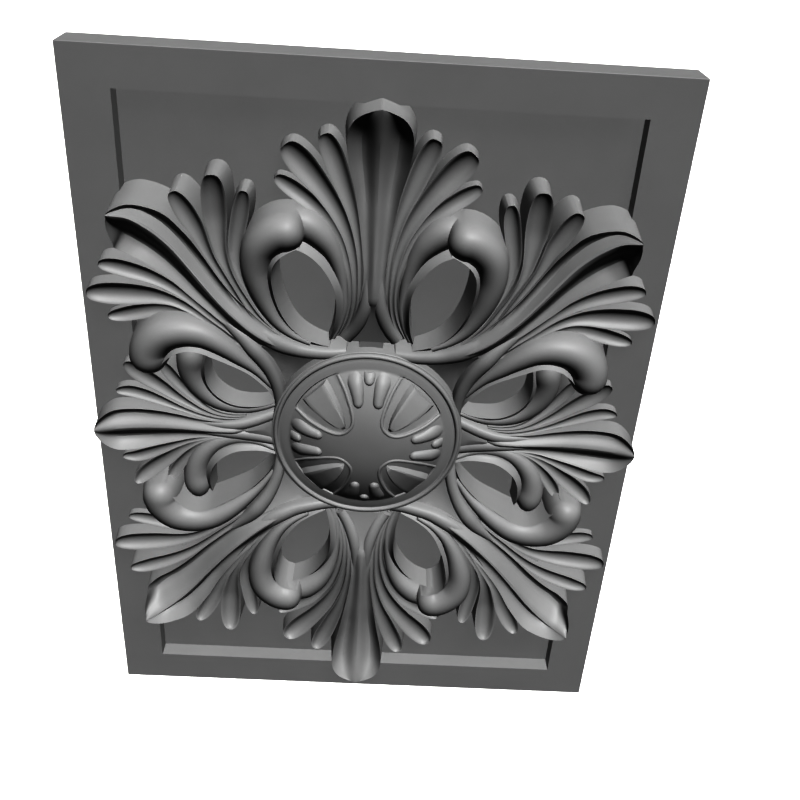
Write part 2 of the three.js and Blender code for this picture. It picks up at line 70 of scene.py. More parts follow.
# The carving is drawn in millimetres at this height, tip to tip, with heights over the board's
# front face. MM turns drawn millimetres into metres at the height that the frame gives.
DRAWN_HEIGHT = 363.4
ROSETTE_LOW, ROSETTE_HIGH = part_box("rosette")
BOARD_LOW, BOARD_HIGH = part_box("backing_panel")
MM = (ROSETTE_HIGH[2] - ROSETTE_LOW[2]) / DRAWN_HEIGHT
FRONT = BOARD_LOW[1]

# Stations of the strokes. A scoop's are [x, z, rim height, half width], a strand's are
# [x, z, edge height, half width], a lip's are [x, z, rim height, width], with a negative width
# where the lip lies left of its path, and a ridged lobe's are [x, z, ridge height, left width,
# right width, left rim height, right rim height, channel depth].

UPRIGHT_RIDGE = [
    [0, 76, 4.8, 6, 6, 3.4, 3.4, 0],
    [0, 81, 8.2, 7, 7, 5.8, 5.8, 0],
    [0, 87, 9.1, 6.2, 6.2, 6.6, 6.6, 0.2],
    [0, 96, 9.2, 5.5, 5.5, 7.4, 7.4, 0.8],
    [0, 110, 8.4, 6.6, 6.6, 7.2, 7.2, 1.4],
    [0, 126, 7.5, 8.8, 8.8, 7, 7, 2.2],
    [0, 142, 7.4, 11.6, 11.6, 8.5, 8.5, 4.6],
    [0, 156, 9, 14.6, 14.6, 11.3, 11.3, 6.2],
    [0, 168, 12.2, 15.6, 15.6, 14, 14, 5.8],
    [0, 180, 16.4, 15.4, 15.4, 15.9, 15.9, 1],
]
UPRIGHT_LOBES = [
    [
        [15.2, 57, -0.6, 0.9], [11, 65, 1.8, 1], [8.4, 73, 3.8, 1.2], [7, 82, 5.4, 1.4],
        [7, 92, 6, 1.3], [7.6, 104, 5.6, 1.4], [9.2, 115, 4.8, 1.9], [12.2, 128, 4.3, 3.1],
        [16.8, 141, 4, 4.6], [21.8, 154, 3.8, 5.4], [26.8, 165.6, 4, 5.2],
    ],
    [
        [16.9, 57, -1.7, 0.9], [13, 65, 0.2, 1.1], [10.5, 73, 1.8, 1.3], [9.4, 82, 3, 1.5],
        [9.6, 92, 3.4, 1.7], [10.9, 103, 3.1, 2.3], [13.8, 114, 2.7, 2.9], [18.6, 125, 2.4, 4],
        [26.6, 137.2, 2, 5.2], [35.8, 148.2, 2, 6.6], [45.4, 159, 2.2, 6.6],
    ],
    [
        [18.6, 57, -2.9, 0.9], [15, 65, -1.4, 1.1], [12.6, 73, -0.2, 1.3], [11.7, 82, 0.8, 1.4],
        [12.4, 92, 1.2, 1.5], [14.6, 102, 1, 1.9], [19, 113.5, 0.5, 2.6], [25, 122.5, 0, 3.5],
        [32.5, 129.4, -0.8, 4.1], [41, 135.3, -2, 4.4], [50.6, 141.4, -2.8, 4],
    ],
]
UPRIGHT_STRAND = [
    [20.6, 55, -3.6, 1.3], [17.4, 63, -3, 1.9], [15.2, 73, -1.8, 2.2], [15.8, 84, -1.2, 2.7],
    [17.8, 94.6, -1.2, 3.8], [21.6, 104.6, -1.2, 5.4], [27.8, 112.8, -1.2, 7.5],
    [35.4, 118.2, -1.4, 8.6], [44, 119.4, -2.4, 8], [52, 117.6, -4, 7],
]
UPRIGHT_LIP = [
    [22.4, 55, -0.6, -2.6], [20.2, 63, 2, -3], [19.1, 71, 3.8, -3.2], [18.9, 79, 4.9, -3.4],
    [20, 86.6, 5.3, -3.8], [23.3, 93.6, 5.4, -4.4], [28.6, 100.7, 5.4, -5], [34.4, 105.3, 5.4, -5.4],
    [42.5, 108.6, 5.4, -5.4],
]
UPRIGHT_STEM = [
    [3.5, 101, 5.2, 1.2], [3.3, 92.5, 5.5, 2.2], [3.2, 85.4, 5.5, 3], [3.9, 78.2, 4.9, 3.5],
    [5.9, 70.8, 3.5, 3.6], [9, 63.6, 1.5, 3.5], [13.4, 56.8, -0.8, 3.4],
]

CORNER_RIDGE = [
    [38.9, 51.8, 8.2, 2.8, 2.8, 5.4, 5.4, 0],
    [46.2, 54.7, 11.1, 4.2, 4.2, 7.4, 7.4, 0],
    [53.8, 59, 13.2, 5.4, 5.4, 9, 8.8, 0.1],
    [61.2, 64.4, 14.6, 6.4, 6.8, 10, 9, 0.5],
    [68.8, 71.4, 15.3, 7, 8.2, 11, 9.3, 1.5],
    [76, 79, 15.4, 7.2, 9.6, 12, 9.6, 3.2],
    [84, 88.6, 15, 7.8, 11.4, 12, 10, 4.4],
    [92, 98.8, 14.6, 9, 13.2, 12, 10.8, 5.4],
    [101, 110, 15, 10.8, 16.4, 15, 12, 6.4],
    [110.6, 119, 17, 11.6, 18.6, 18, 13.6, 7.2],
    [119.2, 124.8, 20, 8, 17.4, 21, 18, 7],
    [126.6, 127.2, 25, 4, 12, 25, 23, 3.4],
]
CORNER_LOBES = [
    [
        [54, 62.6, 9.4, 0.8], [62.2, 70.8, 11, 1.3], [67.5, 79.3, 11.6, 1.5], [72.4, 87.4, 11.4, 1.8],
        [77.4, 95.4, 11, 2.1], [81.6, 102.6, 10.8, 2.5], [85, 110, 11, 3.5], [88.4, 118.4, 11.4, 4.6],
        [92.6, 126.6, 12.2, 5], [98.2, 136.4, 13.1, 4.6],
    ],
    [
        [50.6, 62, 8, 0.8], [59.2, 71.8, 9.6, 1.3], [65.4, 80.9, 9.8, 1.6], [70.2, 88.6, 9.4, 1.8],
        [73.8, 96.2, 9, 2.1], [76.4, 104.5, 8.6, 2.9], [77.8, 113.5, 8.5, 4.3], [78.6, 122, 8.7, 5.7],
        [79, 131.5, 9.6, 6.1], [79.3, 145.2, 11.1, 5.7],
    ],
    [
        [47.4, 61.4, 6.8, 0.8], [56.4, 72.4, 8, 1.5], [62.6, 81, 7.2, 2], [66.6, 88.6, 6.2, 2.5],
        [69.2, 96, 5.5, 3], [70, 103.5, 5, 3.5], [69.5, 111, 4.8, 3.9], [68, 119.5, 5, 4.3],
        [66.4, 127.6, 5.4, 4.3], [64.8, 136.4, 5.8, 3.8],
    ],
    [
        [65.6, 54.4, 8.2, 0.8], [74.6, 62.8, 9.2, 1.3], [83, 70, 9.6, 1.7], [90.6, 76.8, 9.8, 2.1],
        [98.5, 83.2, 10, 2.7], [106.5, 88.2, 10.4, 3.4], [114.4, 91.8, 11.1, 4.1],
        [122.4, 94.4, 11.9, 4.5], [129.6, 96.4, 12.6, 4.4], [136.6, 97.4, 12.9, 4],
    ],
    [
        [64.6, 51.4, 7, 0.8], [73, 57.4, 8, 1.3], [79.8, 62.8, 8.2, 1.6], [87.2, 68.4, 8, 1.9],
        [94.6, 73.2, 7.7, 2.3], [102.4, 76.8, 7.5, 3], [110.8, 78.8, 7.8, 4.3], [120, 79.6, 8.8, 5.6],
        [129.6, 80, 9.8, 6], [144.8, 80.4, 11.1, 5.5],
    ],
    [
        [63.6, 48.6, 5.8, 0.8], [73.6, 53.4, 6.6, 1.4], [82.4, 59, 6.4, 1.8], [90.4, 64.6, 5.8, 2.3],
        [98, 68.4, 5.2, 2.8], [105.5, 70.2, 4.7, 3.4], [113.5, 69.6, 4.4, 4], [121.6, 67.8, 4.4, 4.2],
        [129.6, 66, 4.6, 4], [136.8, 64.8, 4.8, 3.6],
    ],
]
UPPER_CURL = [
    [32, 55.6, 5.4, 1.4], [41.6, 61, 6.8, 2.2], [48.6, 67.6, 7.6, 3.3], [54, 76.6, 8, 4.8],
    [58, 87.6, 8.4, 6.5], [59.6, 99, 8.4, 8], [56.6, 110, 8.4, 9.5], [48, 116.6, 8.4, 10.2],
    [35.6, 116, 8.4, 10.2],
]
UPPER_LIP = [
    [22, 53.6, 4.4, 2.4], [31, 57.2, 7, 3], [37.6, 61.6, 8.4, 3.4], [42.2, 66.8, 9.8, 3.8],
    [45.9, 73.5, 11.5, 4.4], [48.6, 80.5, 12.8, 5], [50.4, 88, 13.8, 5.6], [51.2, 95.5, 14.4, 6],
    [50.4, 101, 14.5, 6], [47.5, 105.4, 14, 6], [43, 108.4, 12.8, 5.6], [37.6, 110.6, 11.2, 5],
]
LOWER_CURL = [
    [52, 27.4, 4.6, 1.4], [61.2, 39.3, 6.8, 2.8], [68.9, 46.3, 8, 4.5], [77.5, 53.2, 8.8, 6],
    [87.6, 58.9, 9, 7.5], [98.2, 60.4, 9, 8.8], [109, 57.4, 8.8, 10], [115.8, 49.4, 8.4, 10.6],
    [115.4, 35.8, 8.4, 10.6],
]
LOWER_LIP = [
    [50.4, 18, 4, -2.4], [54, 26, 6.4, -3], [59.1, 32.2, 8, -3.4], [64.5, 37.4, 9.2, -3.8],
    [70.2, 41.2, 10.4, -4.2], [76, 44.4, 11.5, -4.6], [83, 48.2, 13, -5.2], [89, 51, 13.9, -5.6],
    [94.6, 51.8, 14.3, -6], [101, 49.8, 14.2, -6], [106.4, 45.6, 13.4, -6], [110.2, 41, 12.4, -5.6],
    [113, 36, 8, -5],
]
UPPER_STEM = [
    [69, 74, 6, 3], [61.4, 65.4, 8.2, 4], [53.8, 59.2, 8.6, 4.5], [46.2, 54.9, 7.8, 4.4],
    [38.9, 52, 6.6, 3.8], [31.5, 50.4, 5.6, 3.5], [23.5, 49.4, 4.2, 3.2], [13, 49.6, 2.4, 2.8],
]
LOWER_STEM = [
    [85, 75, 6.2, 0.8], [78, 68.6, 7, 1.8], [71.8, 63, 7.6, 2.8], [66, 57.6, 8.2, 3.8],
    [61, 51.6, 8.4, 4.4], [56.8, 45.6, 7.6, 4.1], [52.6, 37.6, 6.2, 3.6], [49.6, 28.6, 4.8, 3.3],
    [48.4, 20, 3.4, 3], [48, 11, 2, 2.6],
]

LEVEL_RIDGE = [
    [65, 0, 4, 3, 3, 3, 3, 0],
    [71.5, 0, 8.4, 4.6, 4.6, 5.2, 5.2, 0.1],
    [80, 0, 9.4, 4.9, 4.9, 6.8, 6.8, 1],
    [92, 0, 8.8, 5.9, 5.9, 6.6, 6.6, 1.4],
    [104, 0, 8, 8.4, 8.4, 6.6, 6.6, 2.4],
    [116, 0, 8, 11.2, 11.2, 8, 8, 3.6],
    [128, 0, 9.2, 13, 13, 10.6, 10.6, 5.2],
    [138.5, 0, 11.4, 12.6, 12.6, 12.9, 12.9, 5],
    [147.6, 0, 14.2, 10.6, 10.6, 14.2, 14.2, 1.8],
]
LEVEL_LOBES = [
    [
        [67, 6.2, 4.6, 0.6], [75, 5.4, 5.6, 0.8], [84.5, 6, 5.6, 0.9], [92, 7.6, 5.3, 1.1],
        [99.5, 10, 5, 1.4], [106.5, 12.8, 5, 2], [113.6, 15.8, 5.2, 2.9], [121.6, 19, 5.7, 3.6],
        [129.5, 21.2, 6.3, 3.6], [136.2, 21.2, 6.4, 3.2],
    ],
    [
        [67, 6.8, 3.8, 0.6], [75, 6.1, 4.4, 0.8], [84.5, 7.2, 4, 0.9], [91, 9.4, 3.6, 1.3],
        [97.4, 12.8, 3.3, 1.8], [104.4, 17.2, 3.4, 2.8], [112, 23.2, 4, 4], [119.4, 28.8, 4.9, 4.8],
        [125.4, 33.8, 5.8, 4.6], [130.2, 39, 6.6, 4],
    ],
    [
        [67, 7.4, 2.8, 0.6], [75, 6.9, 2.8, 0.8], [83.5, 8.4, 2.2, 0.9], [89.4, 11.2, 1.7, 1.3],
        [94.8, 15.6, 1.4, 1.9], [100.2, 21.2, 1.4, 2.6], [105.2, 27.4, 1.7, 3.2], [109, 33, 2.2, 3.4],
        [112, 38.4, 2.6, 3],
    ],
]
LEVEL_STRAND = [
    [50.6, 15, 1.6, 1.2], [58.4, 11.8, 0.4, 1.9], [66, 10.2, -0.6, 2.9], [75.4, 10.6, -1.2, 3.9],
    [84.4, 14, -1.2, 4.8], [91, 20, -1, 5.8], [95.4, 27.8, -0.8, 6.8], [96.8, 35.4, -0.5, 7.6],
    [96.2, 42, 0, 8.2], [95.4, 50, 0.3, 8.2],
]
LEVEL_LIP = [
    [50, 17.4, 3, 2.4], [57.2, 14.9, 4, 2.6], [65, 14.3, 4.9, 2.9], [73.4, 15.4, 5.5, 3.2],
    [79.8, 18.9, 6, 3.8], [84.4, 23.4, 6.3, 4.4], [87.2, 29, 6.5, 4.8], [88, 35, 6.6, 5],
    [87.9, 40.4, 5.4, 4.9], [87.4, 44.6, 3.6, 4.6],
]
LEVEL_STEM = [
    [94, 2.8, 4.8, 1], [86, 2.7, 5.5, 1.8], [78.5, 2.7, 6, 2.4], [71.5, 3, 5.6, 3],
    [63.6, 4.6, 4.1, 3.2], [56, 7, 2.4, 3], [49.6, 9.4, 1, 2.8],
]

# The ring's section in drawn millimetres, as radii and heights from its outer wall inwards
RING_WALL_TOP = 6.0
RING_LEAN_TOP = 6.2
RING_ARRIS = 0.25
RING_SHOULDER = (51.7, 6.4)
BEAD_MIDDLE = (50.3, 6.9)
BEAD_HALF_WIDTH = 1.2
BEAD_RISE = 1.1
BEAD_POINTS = 9
RING_FLAT = ((48.8, 6.6), (48.4, 6.6))
COVE_RADII = (47.6, 46.5, 45, 43.6)
COVE_RISE = 1.2
COVE_WIDTH = 5.5
COVE_POWER = 0.7

# The boss's dome falls by this power of its radius. Inside the petals' outlines its ground is
# sunk by this depth, over a slope of this width.
DOME_POWER = 2.38
DOME_RINGS = 60
GROUND_DEPTH = 0.9
GROUND_SLOPE = 1.5
BOSS_SPACING = 0.9

# On the boss: the petal's outline as places along and beside its diagonal, with the half width
# and sink of the bead along it. Its wedge and the edge lobe are rows of [place along, half width,
# height over the boss], and a tongue has rows of [place along the axis, place beside it, half
# width, height over the boss].
PETAL_OUTLINE = (
    (14.6, 15, 16.5, 18.6, 21.5, 25.3, 31.9, 39.8), (0, 3, 5.6, 7.5, 9.3, 11.2, 13.9, 15.7),
)
PETAL_BEAD_HALF_WIDTH = 1.0
PETAL_BEAD_SINK = 0.2
PETAL_WEDGE = [
    [41.5, 9.3, 2.3], [38, 9, 2.5], [33, 8, 2.5], [29, 7, 2.5], [25, 5.6, 2.4], [21, 3.8, 2.2],
    [18.4, 2, 1.8], [16.6, 0.4, 0.2],
]
TONGUE = [
    [41.4, 9.2, 5.3, -4.2], [38, 8, 4.9, -2], [33, 6.5, 4, -0.6], [28, 5.5, 3.1, 0], [24, 5.2, 2.8, 0],
]
EDGE_LOBE = [[42, 3.8, -2.4], [40.4, 3.4, -1.2], [38, 2.8, -0.3], [35.6, 2.2, -0.2]]

# Thin webs between the stems and the ring: rows of [x, z, height] points
WEBS = [
    [[[0, 48, 0.6], [6.2, 48, 0.8]], [[0, 57.5, 1], [6.2, 57.5, 1.2]]],
    [
        [[0, 56.2, 1], [6, 56.2, 1.2], [12, 56.2, 1.2]], [[0, 64, 2.8], [4, 64, 3], [8, 64, 3.6]],
        [[0, 72, 4.9], [2.2, 72, 5.1], [4.4, 72, 5.5]], [[0, 80, 7.4], [0.4, 80, 7.4], [0.8, 80, 7.4]],
    ],
    [
        [[47, 18, 0.2], [40.5, 30, -0.6], [32, 39.5, -0.6], [20, 47.5, 0.4]],
        [[50.4, 29, 1], [45, 38.4, 0.9], [38.6, 44.8, 1.4], [30, 49.4, 2.4]],
        [[54, 41.4, 3.6], [50, 46.6, 3.8], [46.4, 49.6, 4.4], [41, 50.6, 5]],
        [[58, 52, 8.4], [57.4, 53.6, 8.6], [56.4, 54.6, 8.6], [55, 55, 8.4]],
    ],
    [[[46, 0, 3.6], [47, 9, 2.6]], [[56, 0, 5], [56, 6, 3.6]], [[67, 0, 7], [67, 0.6, 6.8]]],
]

# Every stroke has at least this many stations, and this many more in a rounded tip, which narrows
# to this share of its width. The way a path runs is read over this share of its length on each
# side, and the points across it crowd towards its edges by this share.
LEAST_STATIONS = 10
TIP_STATIONS = 9
TIP_WIDTH = 0.04
WAY_REACH = 0.004
CROWDING = 0.35

# Beside a scoop or a strand the low ground lies this share of the half width below its height,
# and a little lower still
BED_SHARE = 0.75

# The paint's darkest tone, how far its mottle and its tooth lighten it, and the span of the
# roughness that follows the mottle
PAINT_TONE = 0.93
MOTTLE_TONE = 0.09
TOOTH_TONE = 0.03
MOTTLE_ROUGHNESS = 0.1

# The studio: half the floor's width, which is also the walls' height, the walls' glow, the
# roughness of the paper and the strength of the even light all round
STUDIO_HALF_WIDTH = 12.0
WALL_GLOW = 1.2
PAPER_ROUGHNESS = 0.9
SKY_STRENGTH = 0.025

# Suns as name, direction towards the sun or None for the key's own, share of the key strength,
# angle across in degrees, and whether it casts shadows
SUNS = (
    ("key_soft", None, 0.1, 30, True),
    ("key_even", None, 0.9, 6, False),
    ("back_left", (-0.3, 0.95, 0), 0.28, 6, False),
    ("back_right", (0.3, 0.95, 0), 0.28, 6, False),
)


def length(name, description, default, **limits):
    """A property in metres."""
    return bpy.props.FloatProperty(
        name=name, description=description, default=default, subtype="DISTANCE", unit="LENGTH", **limits,
    )


class PLAQUE_PG_carving(bpy.types.PropertyGroup):
    step: length("Carving step", "Spacing of the sections along a stroke", 0.0022, min=0.0005)
    draft: bpy.props.FloatProperty(
        name="Wall lean", description="Lean of the carving's walls from upright",
        default=math.radians(4.5), subtype="ANGLE", unit="ROTATION",
    )
    sink: length("Sink", "Depth by which the carving's foot is let into the board", 0.0001)
    crease: bpy.props.FloatProperty(
        name="Crease angle", description="Edges that bend more than this stay sharp",
        default=math.radians(24), subtype="ANGLE", unit="ROTATION",
    )


class PLAQUE_PG_centre(bpy.types.PropertyGroup):
    ring_radius: length("Ring radius", "Radius of the ring's outer wall", 52.6 * MM)
    boss_radius: length("Boss radius", "Radius at which the domed boss meets the ring", 42.9 * MM)
    boss_edge: length("Boss edge height", "Height of the boss's edge over the board's front", 7.8 * MM)
    boss_apex: length("Boss apex height", "Height of the boss's middle over the board's front", 19.2 * MM)
    sides: bpy.props.IntProperty(
        name="Sides", description="Facets round the ring and the boss", default=192, min=24,
    )


class PLAQUE_PG_board(bpy.types.PropertyGroup):
    side_margin: length("Side margin", "Width of the frame at the left and the right", 0.024)
    end_margin: length("End margin", "Width of the frame at the top and the bottom", 0.020)
    field_depth: length("Field depth", "Depth of the sunk field", 0.0096)
    arris: length("Arris", "Width of the softened outer edges", 0.0003)


class PLAQUE_PG_finish(bpy.types.PropertyGroup):
    paint: bpy.props.FloatVectorProperty(
        name="Paint", description="Colour of the grey paint",
        default=(0.25, 0.25, 0.25), size=3, min=0, max=1, subtype="COLOR",
    )
    roughness: bpy.props.FloatProperty(
        name="Roughness", description="Mean roughness of the paint", default=0.52, min=0, max=1,
    )


class PLAQUE_PG_stage(bpy.types.PropertyGroup):
    camera_place: bpy.props.FloatVectorProperty(
        name="Camera", description="Place of the camera",
        default=(0.00179, FRONT - 0.45751, 0.29086), size=3, subtype="TRANSLATION", unit="LENGTH",
    )
    camera_aim: bpy.props.FloatVectorProperty(
        name="Aim", description="Direction in which the camera looks",
        default=(0.02917, 0.86070, -0.50827), size=3, subtype="DIRECTION",
    )
    camera_up: bpy.props.FloatVectorProperty(
        name="Up", description="Direction that is up in the picture",
        default=(-0.04930, 0.50910, 0.85929), size=3, subtype="DIRECTION",
    )
    field_of_view: bpy.props.FloatProperty(
        name="Field of view", description="Angle of view across the picture",
        default=math.radians(44.97), subtype="ANGLE", unit="ROTATION",
    )
    key_from: bpy.props.FloatVectorProperty(
        name="Key light", description="Direction towards the key light",
        default=(0.18, -0.516, 0.835), size=3, subtype="DIRECTION",
    )
    key_strength: bpy.props.FloatProperty(
        name="Key strength", description="Strength of the key light", default=8.4, min=0,
    )
    floor_colour: bpy.props.FloatVectorProperty(
        name="Floor", description="Colour of the plain floor",
        default=(0.86, 0.86, 0.86), size=3, min=0, max=1, subtype="COLOR",
    )


# Strokes: solids under a surface that follows a path


def read_path(rows, at):
    """Rows of stations read at shares of the path's length by a smooth curve."""
    rows = np.asarray(rows, float)
    steps = np.hypot(*np.diff(rows[:, :2], axis=0).T)
    place = np.concatenate([[0], np.cumsum(steps)]) / steps.sum()
    spans = np.diff(place)[:, None]
    chords = np.diff(rows, axis=0) / spans
    slopes = np.vstack([
        chords[:1],
        (chords[:-1] * spans[1:] + chords[1:] * spans[:-1]) / (spans[1:] + spans[:-1]),
        chords[-1:],
    ])
    at = np.atleast_1d(at)
    index = np.clip(np.searchsorted(place, at, side="right") - 1, 0, len(rows) - 2)
    span = spans[index]
    t = ((at - place[index]) / span[:, 0])[:, None]
    return (
        (2 * t**3 - 3 * t**2 + 1) * rows[index] + (t**3 - 2 * t**2 + t) * span * slopes[index]
        + (3 * t**2 - 2 * t**3) * rows[index + 1] + (t**3 - t**2) * span * slopes[index + 1]
    )


def path_length(rows):
    rows = np.asarray(rows, float)
    return float(np.hypot(*np.diff(rows[:, :2], axis=0).T).sum())


def scoop_section(u, station, narrowing, hollow=0.72):
    """A hollow between two rims."""
    width = station[3] * narrowing
    side = np.abs(u)
    bevel = 0.2 * np.maximum(0, (side - 0.8) / 0.2) ** 1.5
    return u * width, station[2] - width * (hollow * (1 - side**2.4) + bevel)


def lip_section(u, station, narrowing, fall=1.15):
    """A cove that falls from the rim, on the path, towards the strand beside it."""
    away = (u + 1) / 2
    return away * station[3], station[2] - fall * abs(station[3]) * (1 - (1 - away) ** 1.7)


def strand_section(u, station, narrowing, crown=0.85, sag=0.0):
    """A round-topped strand."""
    width = station[3] * narrowing
    return u * width, station[2] + width * (crown * np.sqrt(np.maximum(0, 1 - u * u)) - sag)


def wedge_section(u, station, narrowing, top=0.74, fall=4.0):
    """A flat top between sloping sides."""
    side = np.maximum(0, (np.abs(u) - top) / (1 - top))
    return u * station[3], station[2] - fall * side**1.2


def ridge_section(u, station, narrowing, left_channel=0.6, right_channel=0.6):
    """A middle ridge with a rim at each edge and a channel between, deepest at the given share."""
    v = np.abs(u)
    place = np.where(u < 0, left_channel, right_channel)
    rim = np.where(u < 0, station[5], station[6])
    width = np.where(u < 0, station[3], station[4])
    ease = v * v * (3 - 2 * v)
    outer = 1 - np.maximum(0, (v - place) / (1 - place)) ** 1.7
    channel = np.where(v < place, 0.5 - 0.5 * np.cos(np.pi * v / place), outer)
    height = station[2] + (rim - station[2]) * ease - station[7] * narrowing * channel
    return u * width * narrowing, height


def stroke_grid(section, rows, spacing, across, tip=0.2, nib=0.0, nib_reach=5.0, blunt=2.2, **shape):
    """The top surface of a stroke as rows of [x, z, height] points.

    The last share of the path, tip, is rounded, more bluntly for a higher blunt. The middle of
    the tip, nib_reach wide, runs nib ahead.
    """
    count = max(LEAST_STATIONS, round(path_length(rows) * (1 - tip) / spacing))
    stops = np.linspace(0, 1 - tip, count)
    if tip:
        rounding = np.sin(np.linspace(0, np.pi / 2, TIP_STATIONS + 1))[1:]
        stops = np.concatenate([stops, 1 - tip + tip * rounding])
    stations = read_path(rows, stops)
    ahead_of, behind = np.minimum(1, stops + WAY_REACH), np.maximum(0, stops - WAY_REACH)
    ways = read_path(rows, ahead_of) - read_path(rows, behind)
    ways = ways[:, :2] / np.hypot(ways[:, 0], ways[:, 1])[:, None]
    in_tip = np.clip((stops - 1 + tip) / tip, 0, 1) if tip else np.zeros_like(stops)
    narrowing = np.maximum(TIP_WIDTH, np.maximum(0, 1 - in_tip**blunt) ** (1 / blunt))
    even = np.linspace(-1, 1, across)
    u = CROWDING * np.sin(even * np.pi / 2) + (1 - CROWDING) * even
    grid = np.zeros((len(stops), across, 3))
    for i, station in enumerate(stations):
        aside, height = section(u, station, narrowing[i], **shape)
        ahead = nib * in_tip[i] ** 3 * np.exp(-((aside / nib_reach) ** 2))
        grid[i, :, 0] = station[0] + ways[i, 1] * aside + ways[i, 0] * ahead
        grid[i, :, 1] = station[1] - ways[i, 0] * aside + ways[i, 1] * ahead
        grid[i, :, 2] = height
    return grid


def solid_under(grid, floor, draft):
    """Points and faces of the solid from a grid of drawn points down to the floor."""
    rows, across = grid.shape[:2]
    ids = np.arange(rows * across).reshape(rows, across)
    loop = np.concatenate([ids[:, 0], ids[-1, 1:], ids[-2::-1, -1], ids[0, -2:0:-1]])
    rim = grid.reshape(-1, 3)[loop]
    area = np.sum(rim[:, 0] * np.roll(rim[:, 1], -1) - np.roll(rim[:, 0], -1) * rim[:, 1])
    turn = np.sign(area)
    ahead = np.roll(rim, -1, axis=0)[:, :2] - np.roll(rim, 1, axis=0)[:, :2]
    ahead /= np.maximum(np.hypot(ahead[:, 0], ahead[:, 1]), 1e-6)[:, None]
    out = ((rim[:, 2] - floor) * math.tan(draft))[:, None]
    foot = np.column_stack([
        rim[:, 0] + turn * ahead[:, 1] * out[:, 0], rim[:, 1] - turn * ahead[:, 0] * out[:, 0],
        np.full(len(rim), floor),
    ])
    points = np.vstack([grid.reshape(-1, 3), foot])
    places = np.column_stack([points[:, 0] * MM, FRONT - points[:, 2] * MM, points[:, 1] * MM])
    feet = rows * across + np.arange(len(loop))
    faces = []
    for i in range(rows - 1):
        for k in range(across - 1):
            faces.append([ids[i, k], ids[i + 1, k], ids[i + 1, k + 1], ids[i, k + 1]])
    for n in range(len(loop)):
        m = (n + 1) % len(loop)
        faces.append([loop[n], feet[n], feet[m], loop[m]])
    for i in range(rows - 1):
        a, b = feet[2 * rows + across - 3 - i], feet[2 * rows + across - 4 - i]
        faces.append([feet[i], a, b, feet[i + 1]])
    for k in range(1, across - 1):
        end = rows - 1 + k
        start = 2 * (rows - 1) + (across - 1) + k
        faces.append([feet[rows - 1], feet[end + 1], feet[end]])
        faces.append([feet[0], feet[start], feet[start - 1]])
    if turn < 0:
        faces = [face[::-1] for face in faces]
    return places, [[int(corner) for corner in face] for face in faces]


def same_part(strokes, first, last):
    """The same share of several strokes, as entries of a bed."""
    return [(rows, first, last) for rows in strokes]


def mirrored_rows(rows, x_sign, z_sign):
    return [[x_sign * row[0], z_sign * row[1], *row[2:]] for row in rows]


def new_object(name, points, faces, collection):
    mesh = bpy.data.meshes.new(name)
    mesh.from_pydata([tuple(point) for point in points], [], faces)
    mesh.validate()
    piece = bpy.data.objects.new(name, mesh)
    collection.objects.link(piece)
    return piece


def working_collection(name):
    collection = bpy.data.collections.new(name)
    bpy.context.scene.collection.children.link(collection)
    return collection


def drop_collection(collection):
    for piece in list(collection.objects):
        mesh = piece.data
        bpy.data.objects.remove(piece)
        bpy.data.meshes.remove(mesh)
    bpy.data.collections.remove(collection)


class Chisel:
    """Cuts strokes into a collection, with the sizes that they share."""

    def __init__(self, collection, spacing, floor, draft):
        self.collection = collection
        self.spacing = spacing
        self.floor = floor
        self.draft = draft
        self.count = 0

    def close(self, grid):
        points, faces = solid_under(np.asarray(grid, float), self.floor, self.draft)
        self.count += 1
        return new_object(f"stroke_{self.count:02d}", points, faces, self.collection)

    def scoop(self, rows, across=15, **options):
        return self.close(stroke_grid(scoop_section, rows, self.spacing, across=across, **options))

    def strand(self, rows, across=13, **options):
        return self.close(stroke_grid(strand_section, rows, self.spacing, across=across, **options))

    def lip(self, rows, across=9):
        return self.close(stroke_grid(lip_section, rows, self.spacing, across=across, tip=0))

    def wedge(self, rows, across=15):
        return self.close(stroke_grid(wedge_section, rows, self.spacing, across=across, tip=0))

    def ridge(self, rows, across=25, **options):
        return self.close(stroke_grid(ridge_section, rows, self.spacing, across=across, **options))

    def bed(self, entries, steps=8, below=0.6):
        """The low ground between neighbouring strokes: entries are (rows, from, to)."""
        columns = []
        for rows, first, last in entries:
            stations = read_path(rows, np.linspace(first, last, steps))
            if stations.shape[1] > 4:
                level = stations[:, [2, 5, 6]].min(axis=1) - stations[:, 7]
            else:
                level = stations[:, 2] - BED_SHARE * stations[:, 3]
            columns.append(np.column_stack([stations[:, :2], level - below]))
        return self.close(np.stack(columns, axis=1))


# Geometry Nodes


